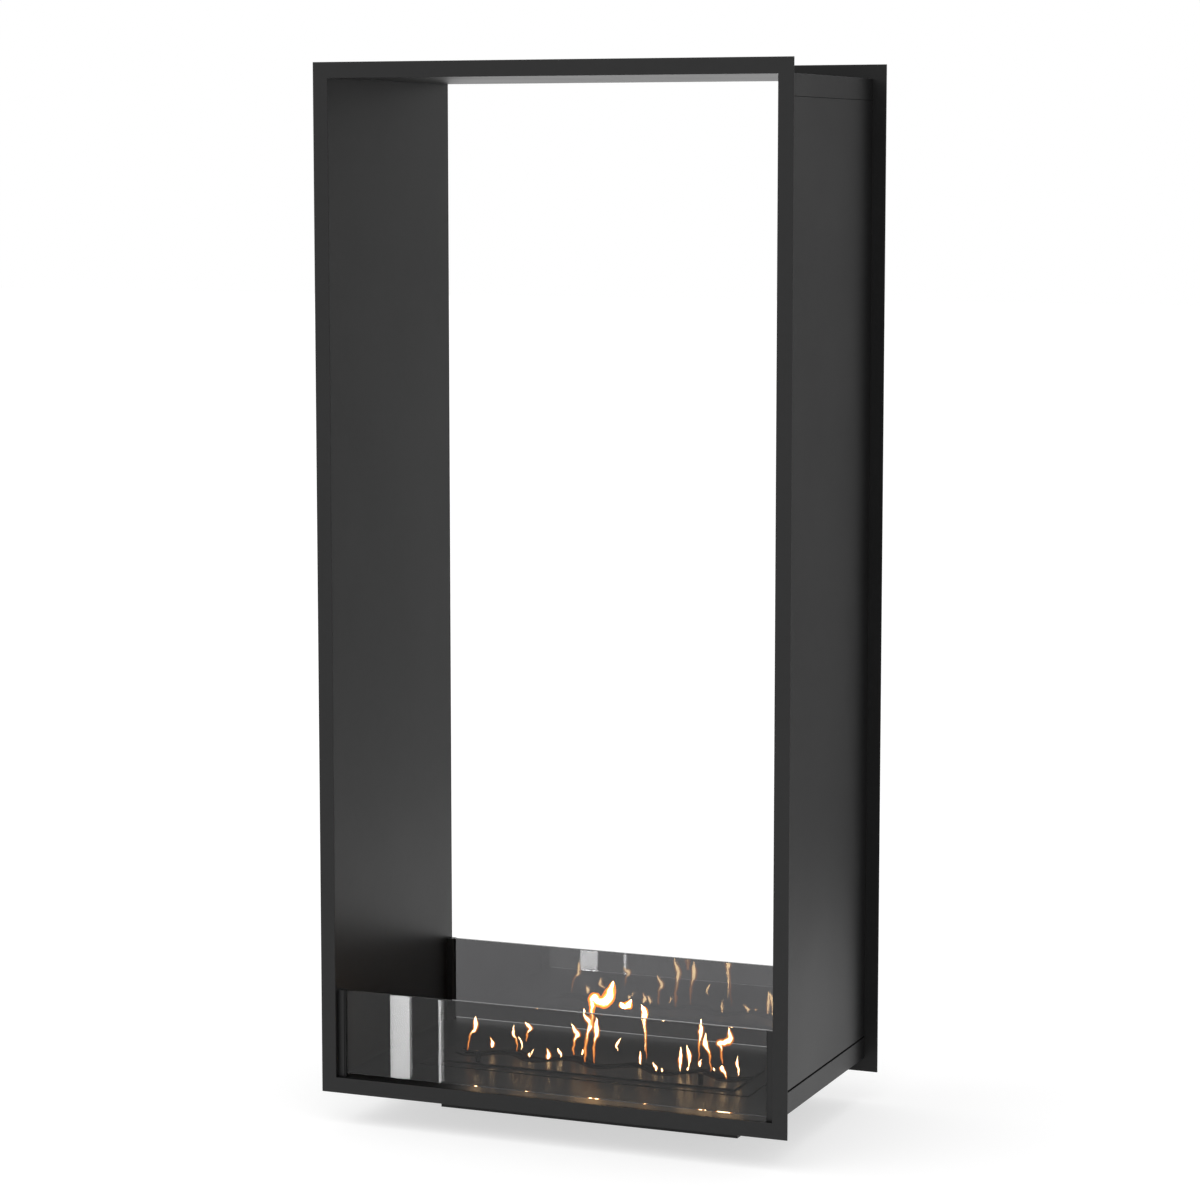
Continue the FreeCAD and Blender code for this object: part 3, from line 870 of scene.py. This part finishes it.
# %% [markdown]
# ## Flames
#
# Ethanol burns with thin, lively tongues: a narrow stem leaves the slot, swells into a bright belly and
# curls to a point. A smoke simulation could give them, but it is slow and leaves no mesh to export, so each
# tongue is a curve with its own thickness along the way, turned into a mesh. An orange mantle, an amber body
# and a white core lie one inside the other, so that a flame has a white heart and a golden rim from every
# side. One field of coloured noise then pushes all three layers about alike, which gives the
# tongues their unrest. They belong to the burner and sink under the plates as the shutter closes.

# %% Flame colours
FLICKER_SIZE = 14
FLICKER = 0.4


def fire(name, glow_hex, level, veil):
    """Glowing gas; veil is the share of what lies behind that shows through."""
    material, tree = new_finish(name)
    place = add_node(tree, "ShaderNodeTexCoord").outputs["Object"]
    flicker = add_node(
        tree, "ShaderNodeTexNoise", values={"Scale": per_mm(FLICKER_SIZE), "Detail": 2},
        links={"Vector": place},
    )
    strength = add_node(
        tree, "ShaderNodeMapRange", values={"To Min": level * (1 - FLICKER), "To Max": level * (1 + FLICKER)},
        links={"Value": flicker.outputs["Fac"]},
    )
    glow = add_node(
        tree, "ShaderNodeEmission", values={"Color": linear(glow_hex)},
        links={"Strength": strength.outputs["Result"]},
    )
    clear = add_node(tree, "ShaderNodeBsdfTransparent")
    mixed = add_node(
        tree, "ShaderNodeMixShader", values={"Fac": veil}, links={1: glow.outputs[0], 2: clear.outputs[0]}
    )
    add_node(tree, "ShaderNodeOutputMaterial", links={"Surface": mixed.outputs[0]})
    return material


flame_mantle = fire("orange_flame_mantle", "#ff8230", 2.0, veil=0.62)
flame_body = fire("amber_flame_body", "#ffb658", 3.4, veil=0.36)
flame_core = fire("white_flame_core", "#ffe0aa", 52, veil=0.05)
print("flame colours:", flame_mantle.name, flame_body.name, flame_core.name)

# %% Kinds of flame
# each kind lists, from foot to tip: share of the height, share of the sideways reach, share of the width
FLAME_KINDS = {
    "bud": ((0, 0, 0.15), (0.2, 0, 0.7), (0.45, 0.1, 1), (0.75, 0.6, 0.65), (1, 1, 0)),
    "drop": ((0, 0.4, 0.3), (0.2, 0.2, 1), (0.45, 0, 0.9), (0.75, 0.3, 0.45), (1, 1, 0)),
    "tadpole": ((0, 0, 0.1), (0.35, 0.3, 0.4), (0.65, 0.8, 1), (0.9, 1, 0.9), (1, 1, 0)),
    "wisp": ((0, 0, 0.1), (0.3, -0.5, 0.7), (0.65, 0.2, 1), (1, 1, 0)),
    "swan": ((0, 0, 0.12), (0.3, 0.1, 0.35), (0.5, 0.3, 0.4), (0.6, 1, 0.8), (0.78, 1.1, 1), (1, 0.9, 0)),
    "flag": ((0, 0, 0.2), (0.2, 0, 0.4), (0.5, 0.2, 0.4), (0.68, 1, 1), (0.82, 0.1, 0.7), (1, -0.4, 0)),
    "crook": (
        (0, 0, 0.1), (0.35, 0.15, 0.3), (0.65, 0.4, 0.35), (0.82, 0.4, 0.9),
        (0.92, 0.5, 1), (1, 1, 0),
    ),
    "hook": (
        (0, 0, 0.1), (0.2, -0.1, 0.28), (0.42, -0.1, 0.32), (0.58, -0.55, 0.85),
        (0.58, 0.2, 0.95), (0.66, 1.1, 1), (0.85, 1.15, 0.7), (1, 0.85, 0),
    ),
    "plume": (
        (0, 0, 0.3), (0.3, 0, 0.4), (0.64, -0.02, 0.75), (0.5, 0.35, 0.8),
        (0.55, 0.8, 1), (0.85, 1, 0.75), (1, 1.05, 0.1),
    ),
    "puff": ((0, -1, 0.2), (0.3, -0.4, 0.9), (0.6, 0.4, 1), (1, 1, 0.3)),
}
print("flame kinds:", len(FLAME_KINDS))

# %% Row of flames
# kind, place along the slot, foot and tip over the plates, sideways reach, width
FLAMES = (
    ("swan", -206, 4, 57, 13, 9),
    ("drop", -173, 8, 24, -4, 9),
    ("swan", -138, 3, 41, -9, 7),
    ("wisp", -128, 8, 29, -5, 4),
    ("flag", -115, 25, 55, 8, 9),
    ("bud", -110, 1, 10, 1, 6),
    ("bud", -105, 6, 16, 4, 4),
    ("drop", -82, 0, 18, -2, 9),
    ("wisp", -68, 2, 16, -4, 6),
    ("flag", -51, 6, 52, 8, 10),
    ("bud", -34, 8, 18, 0, 4),
    ("flag", -27, 0, 80, 10, 12),
    ("swan", -8, 4, 72, 5, 11),
    ("plume", -12, 58, 127, 32, 20),
    ("puff", 35, 81, 95, 5, 14),
    ("puff", 29, 83, 92, -3, 11),
    ("wisp", 24, 21, 43, 6, 5),
    ("bud", 53, 2, 22, 0, 6),
    ("crook", 66, 12, 89, -13, 11),
    ("wisp", 61, 22, 80, -5, 4),
    ("bud", 87, 0, 13, -7, 7),
    ("bud", 97, 2, 7, -1, 4),
    ("wisp", 121, 1, 37, 1, 9),
    ("wisp", 131, 8, 38, -3, 10),
    ("bud", 129, 3, 9, 3, 4),
    ("bud", 145, 6, 18, 3, 7),
    ("swan", 143, 14, 77, 4, 10),
    ("swan", 163, 2, 60, -8, 10),
    ("bud", 170, 4, 10, -2, 4),
    ("hook", 187, 20, 73, 10, 13),
    ("tadpole", 195, 0, 20, -7, 9),
    ("wisp", 211, 5, 35, -3, 6),
)
tallest = max(tip for kind, along, foot, tip, reach, width in FLAMES)
print("flames:", len(FLAMES), "tongues, the tallest", tallest, "mm over the plates")

# %% One tongue
PLATE_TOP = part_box("shutter_plate")[1].z / MM
TONGUE_STEPS = 12
TONGUE_ROUNDNESS = 3
TONGUE_ORDER = 3


def slot_middle(x):
    """Where the wavy slot's middle line runs, from the burner's centre line."""
    return -WAVE_HEIGHT * math.cos(2 * math.pi * x / WAVE_LENGTH)


def flame_curve(kind, along, foot, tip, reach, width, sway, bare, fill):
    """One tongue as a curve, thick in the belly and fine at the tip."""
    bpy.ops.curve.primitive_nurbs_path_add()
    curve = bpy.context.object
    curve.data.bevel_depth = 1
    curve.data.bevel_resolution = TONGUE_ROUNDNESS
    curve.data.resolution_u = TONGUE_STEPS
    curve.data.use_fill_caps = True
    curve.data.splines.clear()
    line = curve.data.splines.new("NURBS")
    shape = FLAME_KINDS[kind]
    line.points.add(len(shape) - 1)
    line.order_u = TONGUE_ORDER
    line.use_endpoint_u = True
    drift = Vector((math.cos(sway), math.sin(sway), 0)) * reach
    for point, (up, side, girth) in zip(line.points, shape):
        height = PLATE_TOP + foot + up * (tip - foot)
        place = Vector((along, slot_middle(along), height)) + side * drift
        point.co = (*place * MM, 1)
        point.radius = max(girth - bare, 0) * fill * width / 2 * MM
    return curve


print("tongues stand over the plates, which end at", round(PLATE_TOP, 1), "mm")

# %% Flame tongues
# share of the girth that a layer leaves bare, and the share of the rest that it fills
FLAME_LAYERS = {
    "flame_mantles": (0, 1, flame_mantle),
    "flame_bodies": (0.18, 0.92, flame_body),
    "flame_cores": (0.42, 0.9, flame_core),
}
SWAY = 35
SWAY_STEP = 2.4  # radians from one tongue to the next, so that neighbours sway apart
FLUTTER = 5
FLUTTER_SIZE = 11

flutter = bpy.data.textures.new("flame_flutter", "CLOUDS")
flutter.cloud_type = "COLOR"
flutter.noise_scale = FLUTTER_SIZE * MM


def flame_set(name, bare, fill, material):
    """All tongues of one layer, joined into one mesh that rides on the burner."""
    bpy.ops.object.select_all(action="DESELECT")
    sways = [math.radians(SWAY) * math.sin(SWAY_STEP * index) for index in range(len(FLAMES))]
    curves = [flame_curve(*flame, sway, bare, fill) for flame, sway in zip(FLAMES, sways)]
    for curve in curves:
        curve.select_set(True)
    bpy.ops.object.convert(target="MESH")
    bpy.ops.object.join()
    flames = bpy.context.object
    flames.name = name
    bpy.ops.object.transform_apply(location=True, rotation=True, scale=True)
    bpy.ops.object.shade_smooth()
    unrest = flames.modifiers.new("flutter", "DISPLACE")
    unrest.texture = flutter
    unrest.texture_coords = "LOCAL"
    unrest.direction = "RGB_TO_XYZ"
    unrest.strength = FLUTTER * MM
    bpy.ops.object.modifier_apply(modifier=unrest.name)
    coat(flames, material)
    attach(flames, "burner")
    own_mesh(flames)
    print(name, len(FLAMES), "tongues,", len(flames.data.polygons), "faces")


for layer_name, layer in FLAME_LAYERS.items():
    flame_set(layer_name, *layer)
